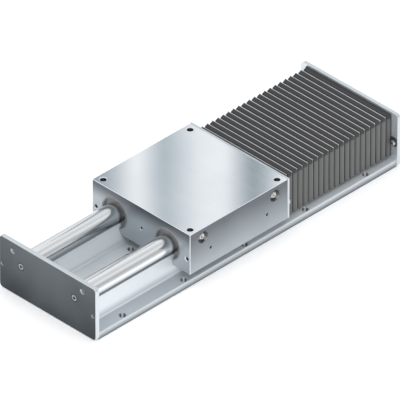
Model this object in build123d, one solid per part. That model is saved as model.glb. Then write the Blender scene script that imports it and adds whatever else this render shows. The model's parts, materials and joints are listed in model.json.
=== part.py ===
from build123d import *
import os
from math import radians, sqrt, tan

# A linear slide: a carriage on four open ball bushings runs along two supported shafts.
# Millimetres. X is the travel, Y goes across, Z is up from the underside of the base.

# Shafts and the base that carries them
shaft_diameter = 30.0
shaft_inset = 41.0
shaft_height = 50.0
shaft_chamfer = 1.0
base_length = 550.0
base_inset = 2.5
base_thickness = 9.5
base_edge_round = 2.2
rib_top_width = 9.6
rib_flank_angle = 22.0
rib_root_fillet = 4.0
seat_clearance = 0.02

# Holes that fasten the base to a machine
base_hole_diameter = 10.5
base_hole_pitch = 112.0
base_hole_end_margin = 40.0
outer_row_edge = 7.5
inner_row_spacing = 34.0

# Screws from below that hold each shaft on its rib
shaft_screw_diameter = 6.0
shaft_screw_length = 30.0
shaft_screw_pitch = 100.0
shaft_screw_end_margin = 20.0
shaft_screw_grip = 9.0

# End plates
plate_thickness = 6.0
plate_overhang = 1.5
plate_height = 81.5
plate_lift = 0.5
plate_corner_radius = 6.0
plate_edge_break = 0.7
plate_screw_diameter = 6.0
plate_screw_length = 20.0
plate_hole_clearance = 0.25
upper_hole_inset = 14.0
upper_hole_height = 67.5
side_hole_drill = 4.2
side_hole_mouth = 5.6
side_hole_edge = 5.6
side_hole_height = 38.0

# Carriage block
carriage_length = 180.0
carriage_width = 180.0
carriage_bottom = 20.5
carriage_height = 63.0
carriage_position = -20.0
carriage_edge_break = 0.6
slot_width = 13.0
slot_flank_angle = 22.0
top_thread_drill = 8.5
top_thread_mouth = 10.6
top_thread_depth = 22.0
top_hole_edge = 10.0
end_thread_drill = 5.0
end_thread_mouth = 7.4
end_thread_depth = 16.0
end_hole_edge = 6.2
end_hole_height = 43.0
drive_thread_drill = 4.2
drive_thread_mouth = 5.6
drive_thread_depth = 14.0

# Open ball bushings, one near each corner of the carriage
bushing_diameter = 47.0
bushing_length = 68.0
bushing_fit = 0.05
running_clearance = 0.05
track_count = 5
track_angle = 60.0
ball_diameter = 4.762
ball_slot_length = 46.0
load_plate_length = 52.0
load_plate_angle = 26.0
load_plate_clearance = 0.1
ring_width = 1.4
ring_depth = 1.3
ring_inset = 3.0
seal_thickness = 4.0
seal_recess = 4.5
seal_collar = 2.0

# Lubrication and locking in the carriage's sides
pocket_diameter = 17.5
pocket_depth = 9.0
pocket_inset = 24.0
pocket_height = 69.0
nipple_hex = 10.0
nipple_hex_height = 4.0
nipple_head_diameter = 9.0
nipple_head_height = 3.5
nipple_funnel_diameter = 5.6
nipple_bore_diameter = 2.0
nipple_thread = 6.0
nipple_thread_length = 6.0
grease_bore_diameter = 3.0
lock_screw_diameter = 4.0
lock_screw_length = 10.0
lock_screw_height = 46.0
lock_screw_bite = 1.0
lock_screw_offset = 4.5

# Bellows: an inverted U of pleats from the carriage to the rear plate
bellows_screw_gap = 0.8
bellows_top = 79.5
bellows_bottom = 13.5
fold_count = 20
fold_depth = 10.0
skin_thickness = 1.8
flange_thickness = 3.0
flange_shaft_clearance = 1.5
frame_thickness = 2.0
frame_band_inset = 13.0
stay_thickness = 1.0
stay_crest_gap = 4.8
stay_glide_gap = 0.3
shaft_side_clearance = 1.0
ear_width = 13.0
ear_edge = 0.6

# Slotted screws of the bellows
flange_screw_diameter = 6.0
flange_screw_head = 10.0
flange_screw_head_height = 3.9
flange_screw_length = 14.0
ear_screw_diameter = 5.0
ear_screw_head = 8.5
ear_screw_head_height = 3.3
ear_screw_length = 8.0
frame_screw_diameter = 4.0
frame_screw_length = 7.5
frame_pad_diameter = 8.8

# Gap round a screw in the hole that it turns in, and other shared clearances
thread_clearance = 0.05
overcut = 1.0

# What follows from the sizes above
shaft_radius = shaft_diameter / 2
shaft_spacing = carriage_width - 2 * shaft_inset
shaft_y = shaft_spacing / 2
base_width = carriage_width - 2 * base_inset
base_end = base_length / 2
carriage_front = carriage_position - carriage_length / 2
carriage_rear = carriage_position + carriage_length / 2
carriage_top = carriage_bottom + carriage_height
rib_half_top = rib_top_width / 2
rib_top = shaft_height - sqrt((shaft_radius + seat_clearance) ** 2 - rib_half_top ** 2)
outer_row_spacing = base_width - 2 * outer_row_edge
plate_width = base_width + 2 * plate_overhang
side_hole_spacing = plate_width - 2 * side_hole_edge
ear_reach = plate_width / 2 - ear_edge
end_hole_spacing = carriage_width - 2 * end_hole_edge
bellows_half_width = (end_hole_spacing - flange_screw_head) / 2 - bellows_screw_gap
upper_hole_spacing = 2 * (bellows_half_width - upper_hole_inset)
screw_tip = shaft_height - shaft_radius + shaft_screw_grip
screw_seat = screw_tip - shaft_screw_length
flange_rear = carriage_rear + flange_thickness
skin_start = flange_rear + frame_thickness
skin_end = base_end - frame_thickness
fold_pitch = (skin_end - skin_start) / (fold_count + 0.5)


def spread(pitch, end_margin):
    # As many places along the base as its length has room for, centred
    gaps = int((base_length - 2 * end_margin) / pitch)
    return [pitch * (k - gaps / 2) for k in range(gaps + 1)]


stations = spread(base_hole_pitch, base_hole_end_margin)
screw_stations = spread(shaft_screw_pitch, shaft_screw_end_margin)

# Directions that the mouth of a hole or the head of a screw can face
faces_down = Rot(180, 0, 0)
faces_front = Rot(0, -90, 0)
faces_rear = Rot(0, 90, 0)
faces_left = Rot(-90, 0, 0)
faces_right = Rot(90, 0, 0)

below = (Align.CENTER, Align.CENTER, Align.MAX)
above = (Align.CENTER, Align.CENTER, Align.MIN)


# Tools that cut, each with its mouth at the origin and its depth down -Z

def plain_hole(diameter, depth):
    return Pos(0, 0, overcut) * Cylinder(diameter / 2, depth + overcut, align=below)


def tapped_hole(drill, mouth, depth):
    lead_in = Cone(drill / 2, mouth / 2, (mouth - drill) / 2, align=below)
    return plain_hole(drill, depth) + lead_in


def countersunk_hole(screw, clearance, depth):
    drill = screw + 2 * clearance
    return tapped_hole(drill, 2 * screw, depth)


def counterbored_hole(diameter, head, head_depth, depth):
    return plain_hole(diameter, depth) + plain_hole(head, head_depth)


# Fasteners, each seated at the origin with its head up +Z and its shank down -Z

def hex_socket(width, depth, top):
    hexagon = RegularPolygon(width / 2, 6, major_radius=False)
    return Pos(0, 0, top - depth) * extrude(hexagon, amount=depth + overcut)


def socket_cap_screw(diameter, length):
    head_height = diameter
    head = Cylinder(diameter * 5 / 6, head_height, align=above)
    head = chamfer(head.edges().group_by(Axis.Z)[-1], diameter / 12)
    shank = Cylinder(diameter / 2, length, align=below)
    shank = chamfer(shank.edges().group_by(Axis.Z)[0], diameter / 12)
    return head + shank - hex_socket(diameter * 5 / 6, head_height / 2, head_height)


def countersunk_screw(diameter, length):
    head_height = diameter / 2 - 0.2
    head = Cone(diameter / 2, diameter, diameter / 2, align=below)
    rim = Pos(0, 0, -head_height) * Cylinder(diameter, head_height, align=above)
    shank = Cylinder(diameter / 2, length, align=below)
    shank = chamfer(shank.edges().group_by(Axis.Z)[0], diameter / 12)
    return (head & rim) + shank - hex_socket(diameter * 2 / 3, diameter / 2.4, 0)


def slotted_screw(diameter, length, head, head_height):
    cap = Cylinder(head / 2, head_height, align=above)
    cap = chamfer(cap.edges().group_by(Axis.Z)[-1], head_height / 5)
    slot = Pos(0, 0, head_height) * Box(head + overcut, diameter / 4, head_height)
    shank = Cylinder(diameter / 2, length, align=below)
    return cap + shank - slot


def set_screw(diameter, length):
    body = Cylinder(diameter / 2, length, align=below)
    body = chamfer(body.edges().group_by(Axis.Z)[0], diameter / 8)
    return body - hex_socket(diameter / 2, diameter / 2, 0)


def grease_nipple():
    hexagon = extrude(RegularPolygon(nipple_hex / 2, 6, major_radius=False), amount=nipple_hex_height)
    head = Pos(0, 0, nipple_hex_height) * Cylinder(nipple_head_diameter / 2, nipple_head_height, align=above)
    head = chamfer(head.edges().group_by(Axis.Z)[-1], nipple_head_height / 4)
    stem = Cylinder(nipple_thread / 2, nipple_thread_length, align=below)
    top = nipple_hex_height + nipple_head_height
    funnel = tapped_hole(nipple_bore_diameter, nipple_funnel_diameter, top + nipple_thread_length + overcut)
    return hexagon + head + stem - Pos(0, 0, top) * funnel


def section_on_yz(sketch, start, length):
    return extrude(Plane.YZ.offset(start) * sketch, amount=length)


# Base and shafts

def rib_half_width(height):
    return rib_half_top + (rib_top - height) * tan(radians(rib_flank_angle))


def rib_reach():
    # How far the ribs' root fillets reach from the middle of the base
    return shaft_y + rib_half_width(base_thickness) + rib_root_fillet * tan(radians(45 - rib_flank_angle / 2))


def base_section():
    slab = Pos(0, base_thickness / 2) * Rectangle(base_width, base_thickness)
    slab = fillet(slab.vertices().group_by(Axis.Y)[-1], base_edge_round)
    root = rib_half_width(base_thickness)
    for side in (-1, 1):
        corners = [
            (-root, base_thickness), (root, base_thickness), (rib_half_top, rib_top), (-rib_half_top, rib_top),
        ]
        slab += Polygon(*[(side * shaft_y + y, z) for y, z in corners], align=None)
    roots = [
        vertex for vertex in slab.vertices()
        if abs(vertex.Y - base_thickness) < 0.01 and abs(abs(abs(vertex.X) - shaft_y) - root) < 0.01
    ]
    slab = fillet(roots, rib_root_fillet)
    for side in (-1, 1):
        slab -= Pos(side * shaft_y, shaft_height) * Circle(shaft_radius + seat_clearance)
    return slab


def base_profile():
    base = section_on_yz(base_section(), -base_end, base_length)
    mounting = plain_hole(base_hole_diameter, base_thickness + overcut)
    for x in stations:
        for spacing in (outer_row_spacing, inner_row_spacing):
            for side in (-1, 1):
                base -= Pos(x, side * spacing / 2, base_thickness) * mounting
    clearance_hole = counterbored_hole(
        shaft_screw_diameter + 0.6, shaft_screw_diameter * 5 / 3 + 1, screw_seat, rib_top + overcut
    )
    for x in screw_stations:
        for side in (-1, 1):
            base -= Pos(x, side * shaft_y, 0) * faces_down * clearance_hole
    return base


def shaft(side):
    bar = faces_rear * Cylinder(shaft_radius, base_length)
    bar = chamfer(bar.edges().filter_by(GeomType.CIRCLE), shaft_chamfer)
    bar = Pos(0, side * shaft_y, shaft_height) * bar
    radial = plain_hole(shaft_screw_diameter + 2 * thread_clearance, shaft_screw_grip + 2)
    for x in screw_stations:
        bar -= Pos(x, side * shaft_y, shaft_height - shaft_radius) * faces_down * radial
    axial = plain_hole(plate_screw_diameter + 2 * thread_clearance, plate_screw_length)
    for end, facing in ((-1, faces_front), (1, faces_rear)):
        bar -= Pos(end * base_end, side * shaft_y, shaft_height) * facing * axial
    return bar


def shaft_screws():
    screw = socket_cap_screw(shaft_screw_diameter, shaft_screw_length)
    return [
        Pos(x, side * shaft_y, screw_seat) * faces_down * screw
        for x in screw_stations
        for side in (-1, 1)
    ]


# End plates

def end_plate(end):
    outline = RectangleRounded(plate_width, plate_height, plate_corner_radius)
    outline = Pos(0, plate_lift + plate_height / 2) * outline
    start = base_end if end > 0 else -base_end - plate_thickness
    plate = section_on_yz(outline, start, plate_thickness)
    outer = plate.faces().sort_by(Axis.X)[-1 if end > 0 else 0]
    plate = chamfer(outer.edges(), plate_edge_break)
    facing = faces_rear if end > 0 else faces_front
    face_x = end * (base_end + plate_thickness)
    through = plate_thickness + overcut
    screw_hole = countersunk_hole(plate_screw_diameter, plate_hole_clearance, through)
    if end > 0:
        upper_hole = countersunk_hole(frame_screw_diameter, thread_clearance, through)
        side_hole = plain_hole(ear_screw_diameter + 2 * thread_clearance, through)
    else:
        upper_hole = countersunk_hole(frame_screw_diameter, plate_hole_clearance, through)
        side_hole = tapped_hole(side_hole_drill, side_hole_mouth, through)
    rows = (
        (screw_hole, shaft_spacing, shaft_height),
        (upper_hole, upper_hole_spacing, upper_hole_height),
        (side_hole, side_hole_spacing, side_hole_height),
    )
    for cut, spacing, height in rows:
        for side in (-1, 1):
            plate -= Pos(face_x, side * spacing / 2, height) * facing * cut
    return plate


def end_plate_screws():
    screw = countersunk_screw(plate_screw_diameter, plate_screw_length)
    return [
        Pos(end * (base_end + plate_thickness), side * shaft_y, shaft_height) * facing * screw
        for end, facing in ((-1, faces_front), (1, faces_rear))
        for side in (-1, 1)
    ]


# Carriage

def slot_half_width(height):
    return slot_width / 2 + (shaft_height - shaft_radius - height) * tan(radians(slot_flank_angle))


def shaft_slot(side, bottom):
    high = shaft_height - shaft_radius + overcut
    corners = [
        (-slot_half_width(bottom), bottom), (slot_half_width(bottom), bottom),
        (slot_half_width(high), high), (-slot_half_width(high), high),
    ]
    return Polygon(*[(side * shaft_y + y, z) for y, z in corners], align=None)


def bushing_stations():
    # Each bushing's start along X, with 1 for the one whose seal faces the rear
    return (
        (carriage_front + seal_recess + seal_thickness, -1),
        (carriage_rear - seal_recess - seal_thickness - bushing_length, 1),
    )


def lock_station(start, end):
    return start + bushing_length / 2 + end * lock_screw_offset


def carriage_block():
    middle = carriage_bottom + carriage_height / 2
    block = Pos(carriage_position, 0, middle) * Box(carriage_length, carriage_width, carriage_height)
    block = chamfer(block.edges(), carriage_edge_break)
    for side in (-1, 1):
        bore = Pos(side * shaft_y, shaft_height) * Circle(bushing_diameter / 2)
        cut = bore + shaft_slot(side, carriage_bottom - overcut)
        block -= section_on_yz(cut, carriage_front - overcut, carriage_length + 2 * overcut)
    top_hole = tapped_hole(top_thread_drill, top_thread_mouth, top_thread_depth)
    for along in (-1, 1):
        for side in (-1, 1):
            x = carriage_position + along * (carriage_length / 2 - top_hole_edge)
            block -= Pos(x, side * (carriage_width / 2 - top_hole_edge), carriage_top) * top_hole
    front_hole = tapped_hole(end_thread_drill, end_thread_mouth, end_thread_depth)
    rear_hole = plain_hole(flange_screw_diameter + 2 * thread_clearance, end_thread_depth)
    drive_hole = tapped_hole(drive_thread_drill, drive_thread_mouth, drive_thread_depth)
    ends = ((carriage_front, faces_front, front_hole), (carriage_rear, faces_rear, rear_hole))
    for x, facing, end_hole in ends:
        for side in (-1, 1):
            block -= Pos(x, side * end_hole_spacing / 2, end_hole_height) * facing * end_hole
        block -= Pos(x, 0, shaft_height) * facing * drive_hole
    return block - side_holes()


def side_holes():
    bushing_top = sqrt((bushing_diameter / 2) ** 2 - (pocket_height - shaft_height) ** 2)
    grease_depth = carriage_width / 2 - shaft_y - bushing_top + overcut
    lock_depth = carriage_width / 2 - shaft_y - bushing_diameter / 2 + overcut
    port = plain_hole(pocket_diameter, pocket_depth)
    port += plain_hole(nipple_thread + 2 * thread_clearance, pocket_depth + nipple_thread_length)
    port += plain_hole(grease_bore_diameter, grease_depth)
    lock = plain_hole(lock_screw_diameter + 2 * thread_clearance, lock_depth)
    cuts = []
    for start, end in bushing_stations():
        pocket_x = carriage_position + end * (carriage_length / 2 - pocket_inset)
        for side, facing in ((-1, faces_right), (1, faces_left)):
            cuts.append(Pos(pocket_x, side * carriage_width / 2, pocket_height) * facing * port)
            lock_x = lock_station(start, end)
            cuts.append(Pos(lock_x, side * carriage_width / 2, lock_screw_height) * facing * lock)
    return cuts


def lube_nipples():
    return [
        Pos(
            carriage_position + end * (carriage_length / 2 - pocket_inset),
            side * (carriage_width / 2 - pocket_depth),
            pocket_height,
        ) * facing * grease_nipple()
        for end in (-1, 1)
        for side, facing in ((-1, faces_right), (1, faces_left))
    ]


def lock_screw_tip():
    # Where a locking screw's tip ends, inside the shallow pocket in the bushing
    offset = shaft_height - lock_screw_height
    return shaft_y + sqrt((bushing_diameter / 2) ** 2 - offset ** 2) - lock_screw_bite


def bushing_lock_screws():
    return [
        Pos(lock_station(start, end), side * (lock_screw_tip() + lock_screw_length), lock_screw_height)
        * facing * set_screw(lock_screw_diameter, lock_screw_length)
        for start, end in bushing_stations()
        for side, facing in ((-1, faces_right), (1, faces_left))
    ]


# Ball bushings

def open_ring(side, outer, inner, start, length):
    ring = Pos(side * shaft_y, shaft_height) * (Circle(outer) - Circle(inner))
    ring -= shaft_slot(side, carriage_bottom)
    return section_on_yz(ring, start, length)


def track_angles():
    return [track_angle * (k - (track_count - 1) / 2) for k in range(track_count)]


def at_track(side, angle):
    # The frame whose +Z points out of the bushing's axis along one ball track
    return Pos(0, side * shaft_y, shaft_height) * Rot(angle, 0, 0)


def load_plate_shape(side, angle, start, clearance):
    half = radians(load_plate_angle / 2)
    inner = shaft_radius + ball_diameter
    outer = bushing_diameter / 2 - bushing_fit
    reach = outer + overcut
    wedge = Polygon((0, 0), (-reach * tan(half), reach), (reach * tan(half), reach), align=None)
    wedge = offset(wedge, amount=clearance) if clearance else wedge
    band = (Circle(outer + (overcut if clearance else 0)) - Circle(inner - clearance)) & wedge
    x = start + (bushing_length - load_plate_length) / 2 - clearance
    plate = section_on_yz(band, x, load_plate_length + 2 * clearance)
    return at_track(side, angle) * plate


def bushing_cage(side, start, end):
    cage = open_ring(
        side, bushing_diameter / 2 - bushing_fit, shaft_radius + running_clearance, start, bushing_length
    )
    middle = start + bushing_length / 2
    for angle in track_angles():
        cage -= load_plate_shape(side, angle, start, load_plate_clearance)
        slot = Box(ball_slot_length, ball_diameter + 2 * load_plate_clearance, ball_diameter + 2 * overcut)
        cage -= at_track(side, angle) * Pos(middle, 0, shaft_radius + ball_diameter / 2) * slot
    for x in ring_starts(start):
        groove = open_ring(
            side, bushing_diameter / 2 + overcut, bushing_diameter / 2 - ring_depth - load_plate_clearance,
            x - load_plate_clearance, ring_width + 2 * load_plate_clearance,
        )
        cage -= groove
    lock = plain_hole(lock_screw_diameter + 2 * thread_clearance, overcut + lock_screw_bite)
    lock_y = side * (lock_screw_tip() + lock_screw_bite)
    facing = faces_left if side > 0 else faces_right
    return cage - Pos(lock_station(start, end), lock_y, lock_screw_height) * facing * lock


def ring_starts(start):
    return (start + ring_inset, start + bushing_length - ring_inset - ring_width)


def bushing_plates(side, start):
    return [load_plate_shape(side, angle, start, 0) for angle in track_angles()]


def bushing_rings(side, start):
    outer = bushing_diameter / 2 - bushing_fit
    return [
        open_ring(side, outer, bushing_diameter / 2 - ring_depth, x, ring_width)
        for x in ring_starts(start)
    ]


def end_seal(side, start, end):
    # A wiping lip inside a collar that reaches the carriage's face
    lip_x = start + bushing_length if end > 0 else start - seal_thickness
    collar_x = lip_x if end > 0 else lip_x - seal_recess
    outer = bushing_diameter / 2 - bushing_fit
    lip = open_ring(side, outer, shaft_radius + running_clearance, lip_x, seal_thickness)
    collar = open_ring(side, outer, outer - seal_collar, collar_x, seal_thickness + seal_recess)
    return lip + collar


# Bellows

def hood(inset, bottom):
    # The outside of the bellows' inverted U, taken in by an inset
    half = bellows_half_width - inset
    height = bellows_top - inset - bottom
    return Pos(0, bottom + height / 2) * Rectangle(2 * half, height)


def pleated_wall(reach, turn):
    # A zigzag of valleys and crests, half a pitch apart, whose crests lie at a distance from the origin
    crest_to_valley = (reach - fold_depth, reach)
    folds = [(skin_start + k * fold_pitch / 2, crest_to_valley[k % 2]) for k in range(2 * fold_count + 2)]
    profile = Polygon(*folds, (skin_end, -bellows_half_width), (skin_start, -bellows_half_width), align=None)
    return Rot(turn, 0, 0) * extrude(Plane.XZ * profile, amount=2 * bellows_half_width, both=True)


def pleats(inset, bottom):
    # The folds of the top and the sides meet in mitres, so the walls cut one another
    body = pleated_wall(bellows_top - inset, 0)
    for side in (-1, 1):
        body &= pleated_wall(bellows_half_width - inset, side * 90)
    below_pleats = Pos((skin_start + skin_end) / 2, 0, bottom)
    return body - below_pleats * Box(base_length, base_width, base_width, align=below)


def bellows_cover():
    return pleats(0, bellows_bottom) - pleats(skin_thickness, bellows_bottom - overcut)


def shaft_window(side, gap):
    circle = Pos(side * shaft_y, shaft_height) * Circle(shaft_radius + gap)
    return circle + shaft_slot(side, carriage_bottom - overcut)


def bellows_flange():
    middle = carriage_bottom + carriage_height / 2
    outline = Pos(0, middle) * Rectangle(carriage_width, carriage_height)
    for side in (-1, 1):
        outline -= shaft_window(side, flange_shaft_clearance)
        outline -= Pos(side * end_hole_spacing / 2, end_hole_height) * Circle(flange_screw_diameter / 2 + 0.3)
    plate = section_on_yz(outline, carriage_rear, flange_thickness)
    rear_face = plate.faces().sort_by(Axis.X)[-1]
    return chamfer(rear_face.outer_wire().edges().filter_by(Axis.Y), carriage_edge_break / 2)


def frame_band(outer_inset, bottom):
    # An inverted U round both shafts, with room beside and above them
    inner_half = shaft_y + shaft_radius + shaft_side_clearance
    inner_top = shaft_height + shaft_radius + shaft_side_clearance
    inside = Pos(0, (inner_top + bottom - overcut) / 2)
    inside *= Rectangle(2 * inner_half, inner_top - bottom + overcut)
    return hood(outer_inset, bottom) - inside


def bellows_front_frame():
    return section_on_yz(frame_band(fold_depth / 2, carriage_bottom), flange_rear, frame_thickness)


def bellows_rear_frame():
    frame = frame_band(0, bellows_bottom)
    for side in (-1, 1):
        ear_start = bellows_half_width - frame_band_inset / 2
        ear_length = ear_reach - ear_start
        ear = Pos(side * (ear_start + ear_length / 2), side_hole_height)
        frame += ear * RectangleRounded(ear_length, ear_width, ear_width / 4)
        frame -= Pos(side * side_hole_spacing / 2, side_hole_height) * Circle(ear_screw_diameter / 2 + 0.25)
        pad = Pos(side * upper_hole_spacing / 2, upper_hole_height)
        frame += pad * Circle(frame_pad_diameter / 2)
        frame -= pad * Circle(frame_screw_diameter / 2 + thread_clearance)
    return section_on_yz(frame, skin_end, frame_thickness)


def stay_station(fold):
    return skin_start + (fold + 0.5) * fold_pitch


def bellows_stay(fold):
    # Its feet glide on the base, cut back where the ribs' root fillets rise
    band = frame_band(stay_crest_gap, base_thickness + stay_glide_gap)
    relief_half = rib_reach() + stay_glide_gap
    band -= Pos(0, base_thickness) * Rectangle(2 * relief_half, 2 * rib_root_fillet)
    return section_on_yz(band, stay_station(fold) - stay_thickness / 2, stay_thickness)


def bellows_flange_screws():
    screw = slotted_screw(
        flange_screw_diameter, flange_screw_length, flange_screw_head, flange_screw_head_height
    )
    return [
        Pos(flange_rear, side * end_hole_spacing / 2, end_hole_height) * faces_rear * screw
        for side in (-1, 1)
    ]


def bellows_ear_screws():
    screw = slotted_screw(ear_screw_diameter, ear_screw_length, ear_screw_head, ear_screw_head_height)
    return [
        Pos(skin_end, side * side_hole_spacing / 2, side_hole_height) * faces_front * screw
        for side in (-1, 1)
    ]


def bellows_frame_screws():
    screw = countersunk_screw(frame_screw_diameter, frame_screw_length)
    return [
        Pos(base_end + plate_thickness, side * upper_hole_spacing / 2, upper_hole_height) * faces_rear * screw
        for side in (-1, 1)
    ]


def corner_name(side, end):
    return ("front" if end < 0 else "rear") + ("_left" if side > 0 else "_right")


def build_parts():
    parts = {
        "base_profile": base_profile(),
        "shaft_left": shaft(1),
        "shaft_right": shaft(-1),
        "shaft_screws": shaft_screws(),
        "end_plate_front": end_plate(-1),
        "end_plate_rear": end_plate(1),
        "end_plate_screws": end_plate_screws(),
        "carriage_block": carriage_block(),
        "lube_nipples": lube_nipples(),
        "bushing_lock_screws": bushing_lock_screws(),
        "bellows_flange": bellows_flange(),
        "bellows_flange_screws": bellows_flange_screws(),
        "bellows_front_frame": bellows_front_frame(),
        "bellows_cover": bellows_cover(),
        "bellows_rear_frame": bellows_rear_frame(),
        "bellows_ear_screws": bellows_ear_screws(),
        "bellows_frame_screws": bellows_frame_screws(),
    }
    for start, end in bushing_stations():
        for side in (-1, 1):
            corner = corner_name(side, end)
            parts["bushing_cage_" + corner] = bushing_cage(side, start, end)
            parts["bushing_plates_" + corner] = bushing_plates(side, start)
            parts["bushing_rings_" + corner] = bushing_rings(side, start)
            parts["end_seal_" + corner] = end_seal(side, start, end)
    for fold in range(fold_count):
        parts["bellows_stay_%02d" % (fold + 1)] = bellows_stay(fold)
    return parts


os.makedirs("parts", exist_ok=True)
for name, shape in build_parts().items():
    solids = shape if isinstance(shape, list) else [shape]
    whole = Compound([solid for piece in solids for solid in piece.solids()])
    export_step(whole, "parts/" + name + ".step")
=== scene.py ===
import bmesh
import bpy
import json
import math
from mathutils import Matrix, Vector

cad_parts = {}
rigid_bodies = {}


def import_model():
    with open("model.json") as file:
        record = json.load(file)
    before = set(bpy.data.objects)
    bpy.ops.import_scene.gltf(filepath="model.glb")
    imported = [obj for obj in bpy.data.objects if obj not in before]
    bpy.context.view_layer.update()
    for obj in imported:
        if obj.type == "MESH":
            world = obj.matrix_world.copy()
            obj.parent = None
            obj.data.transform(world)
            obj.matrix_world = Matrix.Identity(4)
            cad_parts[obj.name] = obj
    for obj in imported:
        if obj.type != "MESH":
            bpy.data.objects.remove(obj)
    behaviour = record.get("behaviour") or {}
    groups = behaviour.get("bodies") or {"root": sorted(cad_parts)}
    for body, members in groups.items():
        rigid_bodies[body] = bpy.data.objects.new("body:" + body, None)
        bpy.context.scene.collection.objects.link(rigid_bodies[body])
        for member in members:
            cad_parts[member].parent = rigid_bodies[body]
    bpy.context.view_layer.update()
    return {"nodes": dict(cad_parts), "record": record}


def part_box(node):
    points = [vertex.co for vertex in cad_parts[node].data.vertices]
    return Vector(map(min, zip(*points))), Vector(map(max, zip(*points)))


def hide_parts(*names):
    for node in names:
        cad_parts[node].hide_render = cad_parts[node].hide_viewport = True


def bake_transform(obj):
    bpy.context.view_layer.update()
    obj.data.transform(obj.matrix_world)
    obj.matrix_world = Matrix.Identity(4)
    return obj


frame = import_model()
nodes = frame["nodes"]
mm = 0.001
print("frame loaded:", len(nodes), "nodes")


# Selecting

def deselectAll():
    if bpy.context.object and bpy.context.object.mode != "OBJECT":
        bpy.ops.object.mode_set(mode="OBJECT")
    bpy.ops.object.select_all(action="DESELECT")


def startEditing(piece):
    deselectAll()
    bpy.context.view_layer.objects.active = piece
    piece.select_set(True)
    bpy.ops.object.mode_set(mode="EDIT")
    return bmesh.from_edit_mesh(piece.data)


def stopEditing():
    bpy.ops.object.mode_set(mode="OBJECT")


def pick(mesh, kind, test):
    # selects only the verts, edges or faces whose middle passes the test
    for part in list(mesh.verts) + list(mesh.edges) + list(mesh.faces):
        part.select = False
    for part in getattr(mesh, kind):
        points = [part.co] if kind == "verts" else [v.co for v in part.verts]
        middle = sum(points, Vector()) / len(points)
        if test(middle):
            part.select_set(True)
    mesh.select_flush_mode()


def finishPiece(piece, name, material):
    # leaves the piece at the origin with its place in its mesh
    deselectAll()
    bpy.context.view_layer.objects.active = piece
    piece.select_set(True)
    bpy.ops.object.transform_apply(location=True, rotation=True, scale=True)
    piece.name = name
    piece.data.materials.clear()
    piece.data.materials.append(material)


def applyModifier(piece, kind, settings):
    deselectAll()
    bpy.context.view_layer.objects.active = piece
    piece.select_set(True)
    modifier = piece.modifiers.new(kind.lower(), kind)
    for name, value in settings.items():
        setattr(modifier, name, value)
    bpy.ops.object.modifier_apply(modifier=modifier.name)


# Shader sums

class Wire:
    # one socket of a node tree, with the sums that the finishes use
    def __init__(self, tree, socket):
        self.tree = tree
        self.socket = socket

    def sum(self, operation, *values):
        sockets = {place: value for place, value in enumerate(values)}
        return addNode(self.tree, "ShaderNodeMath", {"operation": operation}, sockets)

    def __add__(self, other):
        return self.sum("ADD", self, other)

    def __radd__(self, other):
        return self.sum("ADD", other, self)

    def __sub__(self, other):
        return self.sum("SUBTRACT", self, other)

    def __rsub__(self, other):
        return self.sum("SUBTRACT", other, self)

    def __mul__(self, other):
        return self.sum("MULTIPLY", self, other)

    def __truediv__(self, other):
        return self.sum("DIVIDE", self, other)

    def __abs__(self):
        return self.sum("ABSOLUTE", self)

    def most(self, other):
        return self.sum("MAXIMUM", self, other)

    def least(self, other):
        return self.sum("MINIMUM", self, other)

    def root(self):
        return self.sum("SQRT", self)

    def sine(self):
        return self.sum("SINE", self)

    def ramp(self, low, high):
        # 0 below low, 1 above high, smooth between
        values = {"Value": self, "From Min": low, "From Max": high}
        return addNode(self.tree, "ShaderNodeMapRange", {"interpolation_type": "SMOOTHSTEP"}, values)


def addNode(tree, kind, settings, values, out=0):
    node = tree.nodes.new(kind)
    for name, value in settings.items():
        if name == "stops":
            while len(node.color_ramp.elements) < len(value):
                node.color_ramp.elements.new(0.5)
            for element, (place, colour) in zip(node.color_ramp.elements, value):
                element.position = place
                element.color = (*colour, 1)
        else:
            setattr(node, name, value)
    for name, value in values.items():
        if isinstance(value, Wire):
            tree.links.new(value.socket, node.inputs[name])
        elif isinstance(value, (tuple, list)) and len(value) == 3 and node.inputs[name].type == "RGBA":
            node.inputs[name].default_value = (*value, 1)
        else:
            node.inputs[name].default_value = value
    return Wire(tree, node.outputs[out])


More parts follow.
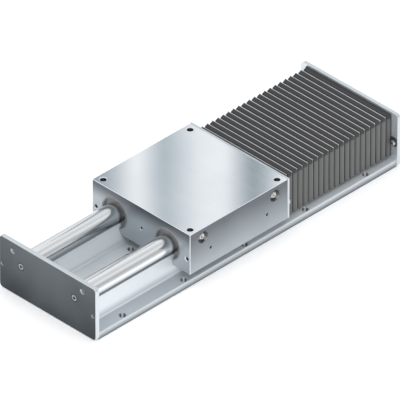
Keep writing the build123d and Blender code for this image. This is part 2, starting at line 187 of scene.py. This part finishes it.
class Finish:
    # a material on Object coordinates
    def __init__(self, name, **fixed):
        self.material = bpy.data.materials.new(name)
        self.material.use_nodes = True
        self.tree = self.material.node_tree
        self.shader = self.tree.nodes["Principled BSDF"]
        for socket, value in fixed.items():
            target = self.shader.inputs[socket.replace("_", " ")]
            target.default_value = (*value, 1) if isinstance(value, (tuple, list)) else value
        self.place = self.node("ShaderNodeTexCoord", {}, {}, "Object")
        self.x = self.node("ShaderNodeSeparateXYZ", {}, {0: self.place}, "X")
        self.y = self.node("ShaderNodeSeparateXYZ", {}, {0: self.place}, "Y")
        self.z = self.node("ShaderNodeSeparateXYZ", {}, {0: self.place}, "Z")

    def node(self, kind, settings, values, out=0):
        return addNode(self.tree, kind, settings, values, out)

    def noise(self, scale, detail=3.0, roughness=0.5):
        # scale is one number, or three to draw the grain out
        if isinstance(scale, (tuple, list)):
            sockets = {0: self.place, 1: scale}
            place, scale = self.node("ShaderNodeVectorMath", {"operation": "MULTIPLY"}, sockets), 1.0
        else:
            place = self.place
        values = {"Vector": place, "Scale": scale, "Detail": detail, "Roughness": roughness}
        return self.node("ShaderNodeTexNoise", {}, values, "Fac")

    def blend(self, factor, first, second):
        # a Mix node has a pair of inputs for each data type, so its colour sockets are looked up
        node = self.tree.nodes.new("ShaderNodeMix")
        node.data_type = "RGBA"
        self.tree.links.new(factor.socket, node.inputs[0])
        sockets = [socket for socket in node.inputs if socket.type == "RGBA"]
        for socket, value in zip(sockets, (first, second)):
            if isinstance(value, Wire):
                self.tree.links.new(value.socket, socket)
            else:
                socket.default_value = (*value, 1)
        result = [socket for socket in node.outputs if socket.type == "RGBA"][0]
        return Wire(self.tree, result)

    def facing(self, axis):
        normal = self.node("ShaderNodeNewGeometry", {}, {}, "Normal")
        return self.node("ShaderNodeSeparateXYZ", {}, {0: normal}, axis)

    def brokenEdge(self):
        # 1 on the narrow bevels, which face along none of the axes
        flat = abs(self.facing("X")).most(abs(self.facing("Y"))).most(abs(self.facing("Z")))
        return 1 - flat.ramp(0.80, 0.95)

    def set(self, socket, wire):
        self.tree.links.new(wire.socket, self.shader.inputs[socket])

    def bump(self, height, strength, distance):
        values = {"Height": height, "Strength": strength, "Distance": distance}
        self.set("Normal", self.node("ShaderNodeBump", {}, values, "Normal"))


# Finishes

metalLook = {"paintedHighlight": (0.80, 0.82, 0.84), "hole": (0.06, 0.065, 0.07)}  # painted highlight on broken edges, painted shade on drilled walls


def depthInside(finish, node):
    # how far a point lies inside the node's box, so that drilled walls can be told from outer faces
    low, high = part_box(node)
    depth = (finish.x - low[0]).least(high[0] - finish.x).least(high[1] - abs(finish.y))
    return depth.least(high[2] - finish.z).least(finish.z - low[2])


def within(finish, reach, edge):
    # 1 nearer to the middle plane than reach, in mm, with a soft edge on both sides of it
    return 1 - abs(finish.y).ramp((reach - edge) * mm, (reach + edge) * mm)


baseLook = {
    "colour": (0.86, 0.90, 0.93), "dark": (0.44, 0.49, 0.52),
    # the side colours carry painted shade down to the floor
    "sideColour": (0.52, 0.56, 0.59), "sideFloorShade": (0.10, 0.115, 0.125),
    # mm: the flange's height, then how far the channel's floor, the channel and the ribs reach
    "flangeTop": 9.5, "ribFoot": 35.5, "channelReach": 47.0, "ribReach": 62.0,
    "lineScale": (6, 2200, 2200), "cloudScale": 9, "reflectionStreaks": 4.5,
    "metallic": 0.4, "channelMetallic": 0.05, "roughness": 0.34,
}


def makeBaseFinish():
    # drawn lines run along the extrusion; painted light makes it lighter over the ribs and the channel and
    # towards the rear
    look = baseLook
    finish = Finish("baseFinish")
    lines = finish.noise(look["lineScale"], 4.0, 0.6)
    cloud = finish.noise(look["cloudScale"], 2.0)
    low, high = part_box("base_profile")
    along = ((finish.x - low[0]) / (high[0] - low[0])).ramp(0.0, 0.8)
    # painted light: lighter over the ribs and the channel, and towards the rear
    tone = within(finish, look["ribReach"], 2).most(along * 0.8) * 0.75
    # painted shade: the channel's floor is darker than the rib flanks
    tone = tone - within(finish, look["ribFoot"], 1) * 0.35 + lines * 0.10 + cloud.ramp(0.3, 0.7) * 0.15
    skin = finish.blend(tone, look["dark"], look["colour"])
    # painted shade darkens the sawn outer sides down to the floor
    outer = abs(finish.facing("Y")).ramp(0.75, 0.95) * (abs(finish.y) - high[1]).ramp(-1.5 * mm, -0.5 * mm)
    lift = (finish.z - low[2]).ramp(-1 * mm, look["flangeTop"] * mm)
    skin = finish.blend(outer, skin, finish.blend(lift, look["sideFloorShade"], look["sideColour"]))
    # painted highlight along the bevels and the ribs' fillets
    skin = finish.blend(finish.brokenEdge() * 0.7, skin, metalLook["paintedHighlight"])
    # painted shade and painted reflection: the holes' walls are dark, with bright streaks that turn with
    # the wall's facing
    drilled = (look["flangeTop"] * mm - finish.z).least(finish.z - low[2]).least(high[1] - abs(finish.y))
    drilled = drilled.least(finish.x - low[0]).least(high[0] - finish.x).ramp(0.3 * mm, 1.2 * mm)
    drilled = drilled * (1 - abs(finish.facing("Z")).ramp(0.5, 0.9)) * (0.8 + cloud.ramp(0.3, 0.7) * 0.2)
    turn = (finish.facing("X") - finish.facing("Y")) * look["reflectionStreaks"] + math.pi / 2
    wall = finish.blend(turn.sine() * 0.5 + 0.5, metalLook["hole"], metalLook["paintedHighlight"])
    finish.set("Base Color", finish.blend(drilled, skin, wall))
    # the channel between the shafts is as extruded, so it is duller than the rest
    channel = within(finish, look["channelReach"], 2)
    finish.set("Metallic", look["metallic"] - channel * (look["metallic"] - look["channelMetallic"]))
    finish.set("Roughness", look["roughness"] + lines * 0.14)
    finish.bump(lines, 0.12, 0.0002)
    return finish.material


blockLook = {
    # the dark colour is the painted shade on the milled faces
    "colour": (0.56, 0.60, 0.63), "dark": (0.12, 0.135, 0.15),
    "topColour": (0.92, 0.94, 0.96), "topDark": (0.84, 0.87, 0.90),
    "pocketInset": 24.0, "pocketHeight": 69.0, "pocketRadius": 8.9,  # mm, the nipples' pockets
    "lineScale": (1600, 7, 1600), "cloudScale": 14, "threadPitch": 1.25,  # mm, the last
    "metallic": 0.6, "roughness": 0.30, "topRoughness": 0.10,
}


def makeBlockFinish():
    # the top is ground bright, the milled faces get painted shade that darkens them upwards, and the
    # broken edges get a painted highlight
    look = blockLook
    finish = Finish("blockFinish")
    lines = finish.noise(look["lineScale"], 4.0, 0.6)
    cloud = finish.noise(look["cloudScale"], 2.0)
    tone = (lines * 0.45 + cloud * 0.55).ramp(0.3, 0.7)
    onTop = finish.facing("Z").ramp(0.75, 0.95)
    front = abs(finish.facing("X")).ramp(0.75, 0.95)
    low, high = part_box("carriage_block")
    lift = (finish.z - low[2]) / (high[2] - low[2])
    # painted shade: the sides darken upwards, and the front darkens under its top edge
    sideShade = 0.72 - lift * 0.74
    frontShade = 0.85 - lift.ramp(0.55, 1.0) * 0.8
    shade = sideShade + (frontShade - sideShade) * front - tone * 0.12
    sides = finish.blend(shade, look["dark"], look["colour"])
    faces = finish.blend(onTop, sides, finish.blend(tone, look["topDark"], look["topColour"]))
    # painted highlight on the broken edges
    faces = finish.blend(finish.brokenEdge(), faces, metalLook["paintedHighlight"])
    # the grease nipples' pockets stay bright, only the tapped holes get painted shade inside
    across = abs(finish.x - (low[0] + high[0]) / 2) - ((high[0] - low[0]) / 2 - look["pocketInset"] * mm)
    rise = finish.z - look["pocketHeight"] * mm
    pocket = look["pocketRadius"] * mm
    outOfPocket = (across * across + rise * rise).root().ramp(pocket, 1.08 * pocket)
    drilled = depthInside(finish, "carriage_block").ramp(0.4 * mm, 1.6 * mm) * outOfPocket * 0.8
    finish.set("Base Color", finish.blend(drilled, faces, metalLook["hole"]))
    finish.set("Metallic", look["metallic"] + onTop * (1 - look["metallic"]))
    ground = onTop * (look["roughness"] - look["topRoughness"])
    finish.set("Roughness", look["roughness"] + lines * 0.10 - ground)
    turn = 2 * math.pi / (look["threadPitch"] * mm)
    thread = ((finish.x + finish.y + finish.z) * turn).sine() * drilled
    finish.bump(lines * (1 - onTop * 0.8) * 0.2 + thread, 0.4, 0.0002)
    return finish.material


plateLook = {
    # the outer faces' colours carry painted shade, the inner faces' colour is painted light, and the
    # holes' colour is painted shade
    "colour": (0.115, 0.13, 0.14), "dark": (0.02, 0.028, 0.036), "back": (0.78, 0.83, 0.86),
    "rim": (0.62, 0.66, 0.68), "hole": (0.40, 0.42, 0.43),
    "lineScale": (1500, 8, 1500), "cloudScale": 10, "metallic": 0.7, "roughness": 0.30,
}


def makePlateFinish():
    # rolled sheet with a bare cut edge; its outer faces are painted darker than the block, as painted
    # shade, and lighter towards the top, as painted light, and its inner faces are painted light
    look = plateLook
    finish = Finish("plateFinish", Metallic=look["metallic"])
    lines = finish.noise(look["lineScale"], 3.0, 0.6)
    cloud = finish.noise(look["cloudScale"], 2.0)
    low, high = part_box("end_plate_front")
    lift = (finish.z - low[2]) / (high[2] - low[2])
    # painted light: lighter towards the top, over the real grain
    tone = lines * 0.2 + cloud.ramp(0.3, 0.7) * 0.35 + lift * 0.45
    inward = (finish.x * finish.facing("X")).ramp(0.1, -0.1)
    face = finish.blend(tone, look["dark"], look["colour"])
    # painted light on the faces that look inwards
    face = finish.blend(inward, face, look["back"])
    edge = 1 - abs(finish.facing("X")).ramp(0.75, 0.95)
    # painted shade: the holes' walls are darker than the bare outer rim
    outside = (finish.z - high[2]).most(abs(finish.y) - high[1]).ramp(-3 * mm, -2 * mm)
    cut = finish.blend(outside, look["hole"], look["rim"])
    finish.set("Base Color", finish.blend(edge, face, cut))
    finish.set("Roughness", look["roughness"] + lines * 0.15)
    finish.bump(lines, 0.10, 0.0002)
    return finish.material


shaftLook = {
    # the underside colour is a painted dark reflection
    "colour": (0.90, 0.91, 0.92), "dark": (0.78, 0.79, 0.80), "underside": (0.24, 0.26, 0.27),
    "ringScale": (3500, 40, 40), "cloudScale": (20, 8, 8), "roughness": 0.13,
}


def makeShaftFinish():
    # hardened and ground: very fine rings round the shaft, and a painted dark reflection darkens its
    # underside
    look = shaftLook
    finish = Finish("shaftFinish", Metallic=1.0)
    rings = finish.noise(look["ringScale"], 2.0, 0.5)
    cloud = finish.noise(look["cloudScale"], 2.0)
    bright = finish.blend(rings * 0.5 + cloud * 0.5, look["dark"], look["colour"])
    # painted dark reflection on the underside
    shadedUnder = finish.facing("Z").ramp(0.30, -0.25)
    finish.set("Base Color", finish.blend(shadedUnder, bright, look["underside"]))
    finish.set("Roughness", look["roughness"] + rings * 0.08)
    finish.bump(rings, 0.05, 0.0001)
    return finish.material


def makeSteelFinish(name, dark, light, rough):
    # zinc or nickel plated small parts, with a faint mottle
    finish = Finish(name, Metallic=1.0)
    mottle = finish.noise(900, 3.0)
    fine = finish.noise(4000, 2.0)
    finish.set("Base Color", finish.blend(mottle.ramp(0.35, 0.65), dark, light))
    finish.set("Roughness", rough + fine * 0.15)
    finish.bump(fine, 0.08, 0.0001)
    return finish.material


headLook = {
    "colour": (0.38, 0.39, 0.39), "dark": (0.22, 0.23, 0.235), "rim": (0.035, 0.037, 0.04),
    "rimStart": 0.66, "rimEnd": 0.82, "mottleScale": 900, "roughness": 0.22,
}


def makeHeadFinish():
    # the end plates' screws: a dark rim painted round a brighter face
    look = headLook
    finish = Finish("headFinish", Metallic=1.0)
    low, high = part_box("end_plate_screws")
    headRadius = (high[2] - low[2]) / 2
    side = abs(finish.y) - (high[1] - headRadius)
    rise = finish.z - (low[2] + headRadius)
    radius = (side * side + rise * rise).root()
    rim = (radius / headRadius).ramp(look["rimStart"], look["rimEnd"])
    mottle = finish.noise(look["mottleScale"], 3.0)
    face = finish.blend(mottle.ramp(0.35, 0.65), look["dark"], look["colour"])
    finish.set("Base Color", finish.blend(rim, face, look["rim"]))
    finish.set("Roughness", look["roughness"] + mottle * 0.15)
    finish.bump(mottle, 0.08, 0.0001)
    return finish.material


def makeMouldedFinish(name, dark, light, rough):
    # moulded plastic and rubber: fine grain and a little tone
    finish = Finish(name, Metallic=0.0)
    grain = finish.noise(2600, 3.0)
    cloud = finish.noise(60, 2.0)
    finish.set("Base Color", finish.blend(cloud.ramp(0.35, 0.65), dark, light))
    finish.set("Roughness", rough + grain * 0.2)
    finish.bump(grain, 0.15, 0.0002)
    return finish.material


bellowsLook = {
    "foldDepth": 10.0, "weave": 0.7,  # mm, the second between threads
    # the valley, slit-side and top colours are painted shade, the side colour is painted light, and the
    # crest colour is a painted highlight
    "valleyShade": (0.020, 0.020, 0.021), "top": (0.030, 0.030, 0.031), "side": (0.125, 0.125, 0.123),
    "slitShade": (0.045, 0.045, 0.045), "crestHighlight": (0.62, 0.62, 0.62),
    "lip": 0.55,  # mm of welded seam along each crest that takes the painted highlight
}


def makeBellowsFinish():
    # coated cloth: a woven grain, painted shade in the folds, towards the slits and over the top, painted
    # light on the sides, and a painted highlight along the welded crests
    look = bellowsLook
    finish = Finish("bellowsFinish", Metallic=0.0, Sheen_Weight=0.1, Sheen_Roughness=0.5)
    low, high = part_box("bellows_cover")
    half, top = high[1], high[2]
    reach = (abs(finish.y) - half).most(finish.z - top)
    onTop = (finish.z - top).ramp(-1.2 * mm, -0.5 * mm)
    # painted highlight along each welded crest, stronger on the top
    lip = reach.ramp(-look["lip"] * mm, -0.4 * look["lip"] * mm) * (0.25 + onTop * 0.75)
    lip = lip * (high[0] - finish.x).ramp(1 * mm, 2 * mm)  # the rear frame covers the last one
    # painted shade deep in the folds
    foldShade = 1 - reach.ramp(-0.4 * look["foldDepth"] * mm, -0.1 * look["foldDepth"] * mm)
    turn = 2 * math.pi / (look["weave"] * mm)
    warp = (finish.y * turn).sine() * 0.5 + 0.5
    weave = warp * (((finish.x + finish.z) * turn).sine() * 0.5 + 0.5)
    wearAndHighlight = finish.noise(220, 4.0)
    # painted shade over the top, and a painted shadow in a band just below the top edge
    topShadeMask = finish.facing("Z").ramp(0.1, 0.5).most((finish.z - top).ramp(-8 * mm, -5 * mm))
    # painted shade towards each slit on the sides
    side = finish.blend(reach.ramp(-1.9 * mm, -0.9 * mm), look["slitShade"], look["side"])
    cloth = finish.blend(foldShade, finish.blend(topShadeMask, side, look["top"]), look["valleyShade"])
    finish.set("Base Color", finish.blend(lip * wearAndHighlight.ramp(0.05, 0.35), cloth, look["crestHighlight"]))
    finish.set("Roughness", 0.60 + weave * 0.2)
    finish.bump(weave * 0.6 + wearAndHighlight * 0.4, 0.25, 0.0003)
    return finish.material


finishes = {
    "base_aluminium": makeBaseFinish(),
    "plate_aluminium": makePlateFinish(),
    "carriage_aluminium": makeBlockFinish(),
    "shaft_steel": makeShaftFinish(),
    "screw_steel": makeSteelFinish("screwFinish", (0.12, 0.125, 0.13), (0.24, 0.245, 0.25), 0.22),
    "nipple_steel": makeSteelFinish("nippleFinish", (0.50, 0.49, 0.47), (0.70, 0.69, 0.66), 0.20),
    "bearing_steel": makeSteelFinish("bearingFinish", (0.50, 0.51, 0.52), (0.66, 0.67, 0.68), 0.22),
    "cage_plastic": makeMouldedFinish("cageFinish", (0.015, 0.015, 0.016), (0.022, 0.022, 0.023), 0.45),
    "seal_rubber": makeMouldedFinish("sealFinish", (0.27, 0.27, 0.273), (0.33, 0.33, 0.333), 0.60),
    "frame_plastic": makeMouldedFinish("sheetFinish", (0.030, 0.030, 0.032), (0.045, 0.045, 0.047), 0.50),
    "stay_plastic": makeMouldedFinish("stayFinish", (0.018, 0.018, 0.019), (0.028, 0.028, 0.029), 0.55),
    "bellows_fabric": makeBellowsFinish(),
}
platedFinish = makeSteelFinish("platedFinish", (0.50, 0.51, 0.52), (0.68, 0.69, 0.70), 0.25)
nodeFinishes = {
    "end_plate_screws": makeHeadFinish(),
    "bellows_ear_screws": platedFinish, "bellows_flange_screws": platedFinish,
}
for part in frame["record"]["subparts"]:
    node = nodes[part["node"]]
    node.data.materials.clear()
    node.data.materials.append(nodeFinishes.get(part["node"], finishes[part["material_slot"]]))
print("finishes on the nodes:", len(finishes))


# Bellows

bellows = {
    "folds": 20, "thickness": 0.6,  # lengths here are in mm
    "lipHalf": 0.35, "lipRise": 0.6,  # the welded seam on each crest
    "lean": 2.0, "shoulder": 1.8,  # how far the near wall overhangs its slit, and how low its shoulder is
    "leapSteps": (0.15, 0.15, 0.5),  # along the travel, from the slit to the shoulder
    "fallSteps": ((0.70, 0.25), (0.20, 0.35), (0.10, 0.40)),  # the far wall's shares: along, and inward
    "topCuts": 15, "sideCuts": 6,  # how finely the cloth is divided round its outline
    "wave": 0.15, "waveSize": 45.0,  # how far the cloth wanders, and over what length
    "smoothAngle": 35,  # degrees
}
bellowsLow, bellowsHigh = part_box("bellows_cover")  # metres
bellowsPitch = (bellowsHigh[0] - bellowsLow[0]) / (bellows["folds"] + 0.5)


def foldSteps():
    # how a fold's wall runs on from its valley: (along the travel, outward), in metres
    # the near wall leaps out of a slit and then leans gently up to the crest, as pressed cloth does
    lipHalf, lipRise = bellows["lipHalf"] * mm, bellows["lipRise"] * mm
    lean, shoulder = bellows["lean"] * mm, bellows["shoulder"] * mm
    depth = bellowsLook["foldDepth"] * mm
    leap = depth - shoulder
    gentle = shoulder - lipRise
    rises = (0.55 * leap, 0.35 * leap, 0.10 * leap + 0.15 * gentle)
    climb = [(along * mm, rise) for along, rise in zip(bellows["leapSteps"], rises)]
    slope = bellowsPitch / 2 + lean - lipHalf - sum(bellows["leapSteps"]) * mm
    climb += [(slope / 2, 0.45 * gentle), (slope / 2, 0.40 * gentle)]
    lip = [(0, lipRise), (2 * lipHalf, 0), (0, -lipRise)]
    # the far wall swells out early, which keeps it off the stay when the bellows is pressed together
    drop = bellowsPitch / 2 - lean - lipHalf
    fall = [(along * drop, -inward * (depth - lipRise)) for along, inward in bellows["fallSteps"]]
    return climb, lip, fall


def stepOut(skin, place, along, outward):
    # extrudes the skin's end outline along the travel, then spreads it outward
    # place is where that outline is: its x, half width and top, in metres
    x, half, top = place
    near = 0.05 * mm
    pick(bmesh.from_edit_mesh(skin.data), "edges", lambda p: abs(p.x - x) < near
         and min(abs(abs(p.y) - half), abs(p.z - top)) < near)
    bpy.ops.mesh.extrude_edges_move(TRANSFORM_OT_translate={"value": (along, 0, 0)})
    if outward:
        mesh = bmesh.from_edit_mesh(skin.data)
        fresh = [v for v in mesh.verts if v.select]
        moves = [
            (lambda p: p.y < near - half, (0, -outward, 0)),
            (lambda p: p.y > half - near, (0, outward, 0)),
            (lambda p: p.z > top - near, (0, 0, outward)),
        ]
        for isWall, move in moves:
            wall = [v for v in fresh if isWall(v.co)]
            for v in mesh.verts:
                v.select = False
            for v in wall:
                v.select_set(True)
            mesh.select_flush_mode()
            bpy.ops.transform.translate(value=move)
    return x + along, half + outward, top + outward


def buildBellowsSkin():
    depth = bellowsLook["foldDepth"] * mm
    front, low = bellowsLow[0] - bellows["lean"] * mm, bellowsLow[2]
    half, top = bellowsHigh[1] - depth, bellowsHigh[2] - depth
    deselectAll()
    bpy.ops.mesh.primitive_plane_add(size=1, location=(front, 0, (low + top) / 2),
                                     rotation=(0, math.radians(90), 0))
    skin = bpy.context.object
    skin.scale = (top - low, 2 * half, 1)
    bpy.ops.object.transform_apply(location=True, rotation=True, scale=True)
    startEditing(skin)
    bpy.ops.mesh.delete(type="ONLY_FACE")
    pick(bmesh.from_edit_mesh(skin.data), "edges", lambda p: p.z < low + mm)
    bpy.ops.mesh.delete(type="EDGE")
    pick(bmesh.from_edit_mesh(skin.data), "edges", lambda p: p.z > top - 0.1 * mm)
    bpy.ops.mesh.subdivide(number_cuts=bellows["topCuts"])
    pick(bmesh.from_edit_mesh(skin.data), "edges", lambda p: abs(p.y) > half - 0.1 * mm)
    bpy.ops.mesh.subdivide(number_cuts=bellows["sideCuts"])
    climb, lip, fall = foldSteps()
    place = (front, half, top)
    for along, outward in climb + lip + fall:
        place = stepOut(skin, place, along, outward)
    stopEditing()
    applyModifier(skin, "ARRAY", {
        "count": bellows["folds"], "use_relative_offset": False, "use_constant_offset": True,
        "constant_offset_displace": (bellowsPitch, 0, 0),
        "use_merge_vertices": True, "merge_threshold": 0.01 * mm,
    })
    # the last half fold ends on a crest, where it is welded to the rear frame
    startEditing(skin)
    place = (bellowsHigh[0] - bellowsPitch / 2 - bellows["lean"] * mm, half, top)
    for along, outward in climb + lip[:1] + [(bellows["lipHalf"] * mm, 0)]:
        place = stepOut(skin, place, along, outward)
    # what the lean put before the front frame is cut off
    bpy.ops.mesh.select_all(action="SELECT")
    bpy.ops.mesh.bisect(plane_co=bellowsLow, plane_no=(1, 0, 0), clear_inner=True)
    bpy.ops.mesh.select_all(action="SELECT")
    bpy.ops.mesh.normals_make_consistent(inside=False)
    mesh = bmesh.from_edit_mesh(skin.data)
    if max(mesh.faces, key=lambda f: f.calc_center_median().z).normal.z < 0:
        bpy.ops.mesh.flip_normals()
    stopEditing()
    wander = bpy.data.textures.new("clothWander", "CLOUDS")
    wander.noise_scale = bellows["waveSize"] * mm
    applyModifier(skin, "DISPLACE", {
        "texture": wander, "texture_coords": "GLOBAL", "mid_level": 0.5, "strength": bellows["wave"] * mm,
    })
    return skin


def splitFolds(skin):
    # each fold becomes a piece of its own
    folds = []
    for fold in range(bellows["folds"]):
        end = bellowsLow[0] + (fold + 1) * bellowsPitch - bellows["lean"] * mm
        before = set(bpy.data.objects)
        mesh = startEditing(skin)
        pick(mesh, "faces", lambda p: p.x < end)
        bpy.ops.mesh.separate(type="SELECTED")
        stopEditing()
        folds += [o for o in bpy.data.objects if o not in before]
    return folds + [skin]


def shareAt(x):
    # the share of the carriage's travel that the cloth at x takes
    return (bellowsHigh[0] - x) / (bellowsHigh[0] - bellowsLow[0])


def smoothPlace(share):
    # where a smooth step from 0 to 1 has reached that share
    return 0.5 - math.sin(math.asin(1 - 2 * share) / 3)


def dressBellows():
    folds = splitFolds(buildBellowsSkin())
    for number, fold in enumerate(folds):
        applyModifier(fold, "SOLIDIFY", {"thickness": bellows["thickness"] * mm, "offset": -1.0})
        deselectAll()
        bpy.context.view_layer.objects.active = fold
        fold.select_set(True)
        bpy.ops.object.shade_smooth_by_angle(angle=math.radians(bellows["smoothAngle"]))
        finishPiece(fold, "bellowsFold%02d" % (number + 1), finishes["bellows_fabric"])
        start = bellowsLow[0] + number * bellowsPitch - bellows["lean"] * mm
        carriageSide = max(start, bellowsLow[0])
        baseSide = min(start + bellowsPitch, bellowsHigh[0])
        first, last = smoothPlace(shareAt(baseSide)), smoothPlace(shareAt(carriageSide))
        length = (baseSide - carriageSide) / (last - first)
        start = baseSide + first * length
        start - length
        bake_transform(fold)
        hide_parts("bellows_cover")
    print("bellows folds:", len(folds))


dressBellows()


# Stage, light and camera

studio = {  # metres and watts
    "floorColour": (0.96, 0.96, 0.96), "floorSize": 8.0, "floorDrop": 0.0005, "floorGlow": 0.15,
    "sky": (0.96, 0.98, 1.0), "skyStrength": 1.05,
    "keyPlace": (-0.9, -1.5, 0.8), "keyPower": 14.0, "keySize": 1.0,
    "topPlace": (0.0, 0.1, 2.0), "topPower": 11.0, "topSize": 1.2,
    "cardDistance": 0.30, "cardSize": (0.30, 0.26), "cardStrength": 1.0,
}
skyBands = [  # a light tent of soft bands along the slide, from one horizon over the top to the other
    (0.00, 0.50), (0.12, 0.85), (0.37, 0.98), (0.56, 0.66), (0.69, 0.92), (0.845, 0.46), (1.00, 0.80),
]
cardBands = [  # the striped light over the block's top, from its left corner to its right one
    (0.00, (0.30, 0.34, 0.38)), (0.10, (0.48, 0.53, 0.56)), (0.22, (1.0, 1.0, 1.0)),
    (0.36, (0.42, 0.48, 0.52)), (0.55, (0.88, 0.90, 0.91)), (0.68, (0.94, 0.95, 0.97)),
    (0.82, (0.26, 0.31, 0.34)), (0.90, (0.44, 0.50, 0.53)), (1.00, (1.0, 1.0, 1.0)),
]
camera = {
    "lens": 1500.0, "sensor": 36.0, "clipStart": 1.0,
    "pixelsPerMm": 0.7643, "frame": 400,  # measured on the picture, which is isometric
    "target": (39.2, 41.0, 0.0),  # mm, what lies at the picture's middle
    "away": (1, 1, -1),  # isometric, so the three axes are equally long in the picture
}


def buildFloor():
    deselectAll()
    bpy.ops.mesh.primitive_plane_add(size=studio["floorSize"], location=(0, 0, -studio["floorDrop"]))
    floor = bpy.context.object
    floor.name = "floor"
    colour, glow = studio["floorColour"], studio["floorGlow"]
    finish = Finish("floorFinish", Roughness=0.9, Emission_Color=colour, Emission_Strength=glow)
    low = tuple(0.985 * c for c in colour)
    finish.set("Base Color", finish.blend(finish.noise(3, 2.0), low, colour))
    floor.data.materials.append(finish.material)


def addAreaLight(name, place, size, power):
    # a square light that looks at the origin
    deselectAll()
    bpy.ops.object.light_add(type="AREA", location=place)
    light = bpy.context.object
    light.name = name
    light.data.shape = "RECTANGLE"
    light.data.size, light.data.size_y = size, size
    light.data.energy = power
    light.rotation_euler = Vector(place).to_track_quat("Z", "Y").to_euler()
    light.visible_camera = False
    light.visible_glossy = False  # the sky's bands are what metal mirrors


def lightStudio():
    world = bpy.data.worlds.new("studioSky")
    bpy.context.scene.world = world
    world.use_nodes = True
    tree = world.node_tree
    background = tree.nodes["Background"]
    background.inputs["Strength"].default_value = studio["skyStrength"]
    towards = addNode(tree, "ShaderNodeTexCoord", {}, {}, "Generated")
    side = addNode(tree, "ShaderNodeSeparateXYZ", {}, {0: towards}, "Y")
    rise = addNode(tree, "ShaderNodeSeparateXYZ", {}, {0: towards}, "Z")
    turned = rise.sum("ARCTAN2", rise, side) / math.pi
    stops = [(place, tuple(bright * c for c in studio["sky"])) for place, bright in skyBands]
    sky = addNode(tree, "ShaderNodeValToRGB", {"stops": stops}, {"Fac": turned}, "Color")
    tree.links.new(sky.socket, background.inputs["Color"])
    addAreaLight("keyLight", studio["keyPlace"], studio["keySize"], studio["keyPower"])
    addAreaLight("topLight", studio["topPlace"], studio["topSize"], studio["topPower"])


def addTopCard():
    # a striped soft box that only the block's ground top mirrors towards the camera
    low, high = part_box("carriage_block")
    middle = Vector(((low[0] + high[0]) / 2, 0, high[2]))
    up = Vector((1, 1, 1)).normalized()
    deselectAll()
    bpy.ops.mesh.primitive_plane_add(size=1, location=middle + up * studio["cardDistance"],
                                     rotation=up.to_track_quat("Z", "Y").to_euler())
    card = bpy.context.object
    card.name = "topCard"
    card.scale = (*studio["cardSize"], 1)
    bpy.ops.object.transform_apply(location=True, rotation=True, scale=True)
    strength = studio["cardStrength"]
    finish = Finish("topCardFinish", Base_Color=(0, 0, 0), Roughness=1.0, Emission_Strength=strength)
    # the stripes run across the view of the block's top, from its left corner to its right one
    span = high[0] - low[0] + high[1] - low[1]
    across = (finish.x - finish.y - middle.x) / span + 0.5
    stripes = finish.node("ShaderNodeValToRGB", {"stops": cardBands}, {"Fac": across}, "Color")
    finish.set("Emission Color", stripes)
    card.data.materials.append(finish.material)
    card.visible_camera = False
    card.visible_diffuse = False
    card.visible_shadow = False
    card.visible_transmission = False


def addCamera():
    away = Vector(camera["away"]).normalized()
    wide = camera["frame"] / camera["pixelsPerMm"] * mm
    distance = wide * camera["lens"] / camera["sensor"]
    target = Vector(camera["target"]) * mm
    deselectAll()
    turn = away.to_track_quat("-Z", "Y").to_euler()
    bpy.ops.object.camera_add(location=target - away * distance, rotation=turn)
    lens = bpy.context.object
    lens.name = "camera"
    lens.data.sensor_width = camera["sensor"]
    lens.data.lens = camera["lens"]
    lens.data.clip_start = camera["clipStart"]
    lens.data.clip_end = 3 * distance
    bpy.context.scene.camera = lens


buildFloor()
lightStudio()
addTopCard()
addCamera()
bpy.context.scene.view_settings.view_transform = "Standard"
print("studio ready")
